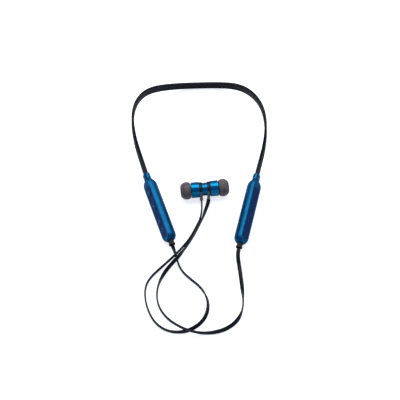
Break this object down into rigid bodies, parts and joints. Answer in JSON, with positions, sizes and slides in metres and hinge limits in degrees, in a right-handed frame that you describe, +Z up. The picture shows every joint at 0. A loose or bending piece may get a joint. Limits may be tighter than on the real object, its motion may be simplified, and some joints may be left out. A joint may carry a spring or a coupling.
{
  "type": "neckband earphones",
  "caption": "Neckband earphones: a thin strap between two slim blue casings, flat cables and two magnetic earbuds with soft tips, lying on a surface.",
  "frame": {"origin": "middle of the strap and casings, at the surface that they lie on", "axes": "+Z up from the surface, +Y from the cables towards the back of the neck, +X to the wearer's right casing as the picture shows it"},
  "size_m": [0.1058, 0.219, 0.0254],
  "materials": {
    "strap_rubber": "satin moulded elastomer with fine lengthwise lines",
    "spring_steel": "bright rolled strip",
    "conductors": "lacquered ribbon",
    "blue_shell": "metallic blue lacquer, satin gloss",
    "blue_panel": "dark metallic blue, satin",
    "blue_keys": "dark metallic blue, satin",
    "anchor_plastic": "moulded nylon",
    "black_rubber": "matt black elastomer",
    "cable_jacket": "satin black flat jacket",
    "board": "green solder mask",
    "switch_metal": "plated steel",
    "lens": "clear moulded window",
    "cell_pouch": "laminated foil pouch",
    "foam": "closed cell foam",
    "blue_metal": "anodised bright blue, polished",
    "magnet_plate": "nickel plated",
    "nozzle_plastic": "moulded black",
    "mesh": "fine woven steel",
    "tip_silicone": "smoke grey silicone, slightly translucent",
    "tip_core": "dull red silicone"
  },
  "bodies": {
    "neckband": {"neckband_strap": "strap_rubber", "neckband_spring": "spring_steel", "neckband_conductors": "conductors", "left_neck_sleeve": "blue_shell", "left_strap_anchor": "anchor_plastic", "left_housing": "blue_shell", "left_face_panel": "blue_panel", "left_strain_relief": "black_rubber", "left_cable": "cable_jacket", "tact_switches": "switch_metal", "left_circuit_board": "board", "chip_shield": "switch_metal", "microphone": "switch_metal", "status_led_lens": "lens", "usb_socket": "switch_metal", "right_neck_sleeve": "blue_shell", "right_strap_anchor": "anchor_plastic", "right_housing": "blue_shell", "right_face_panel": "blue_panel", "right_strain_relief": "black_rubber", "right_cable": "cable_jacket", "battery": "cell_pouch", "battery_foam": "foam", "battery_protection_board": "board"},
    "key_volume_up": {"button_volume_up": "blue_keys"},
    "key_play": {"button_play": "blue_keys"},
    "key_volume_down": {"button_volume_down": "blue_keys"},
    "charging_flap": {"usb_cover": "black_rubber"},
    "left_earbud": {"left_magnet_cap": "blue_metal", "left_magnet": "magnet_plate", "left_cable_collar": "black_rubber", "left_barrel": "blue_metal", "left_driver": "magnet_plate", "left_nozzle": "nozzle_plastic", "left_nozzle_mesh": "mesh"},
    "left_tip": {"left_ear_tip": "tip_silicone", "left_ear_tip_core": "tip_core"},
    "right_earbud": {"right_magnet_cap": "blue_metal", "right_magnet": "magnet_plate", "right_cable_collar": "black_rubber", "right_barrel": "blue_metal", "right_driver": "magnet_plate", "right_nozzle": "nozzle_plastic", "right_nozzle_mesh": "mesh"},
    "right_tip": {"right_ear_tip": "tip_silicone", "right_ear_tip_core": "tip_core"}
  },
  "joints": [
    {"name": "volume_up_press", "type": "slide", "parent": "neckband", "child": "key_volume_up", "axis": [0.81, 0.2805, -0.515], "range_m": [0, 0.00035], "stiffness_N_per_m": 900},
    {"name": "play_press", "type": "slide", "parent": "neckband", "child": "key_play", "axis": [0.81, 0.2805, -0.515], "range_m": [0, 0.00035], "stiffness_N_per_m": 900},
    {"name": "volume_down_press", "type": "slide", "parent": "neckband", "child": "key_volume_down", "axis": [0.81, 0.2805, -0.515], "range_m": [0, 0.00035], "stiffness_N_per_m": 900},
    {"name": "charging_flap_hinge", "type": "hinge", "parent": "neckband", "child": "charging_flap", "pos_m": [-0.02282, -0.0502, 0.00466], "axis": [0.3272, -0.9449, 0], "range_deg": [0, 90]},
    {"name": "left_earbud_pull", "type": "slide", "parent": "neckband", "child": "left_earbud", "axis": [-0.9945, -0.1045, 0], "range_m": [0, 0.006], "deforming": ["left_cable"]},
    {"name": "right_earbud_pull", "type": "slide", "parent": "neckband", "child": "right_earbud", "axis": [0.9945, 0.1045, 0], "range_m": [0, 0.006], "deforming": ["right_cable"]},
    {"name": "left_tip_pull", "type": "slide", "parent": "left_earbud", "child": "left_tip", "axis": [-0.9945, -0.1045, 0], "range_m": [0, 0.006]},
    {"name": "right_tip_pull", "type": "slide", "parent": "right_earbud", "child": "right_tip", "axis": [0.9945, 0.1045, 0], "range_m": [0, 0.006]}
  ]
}
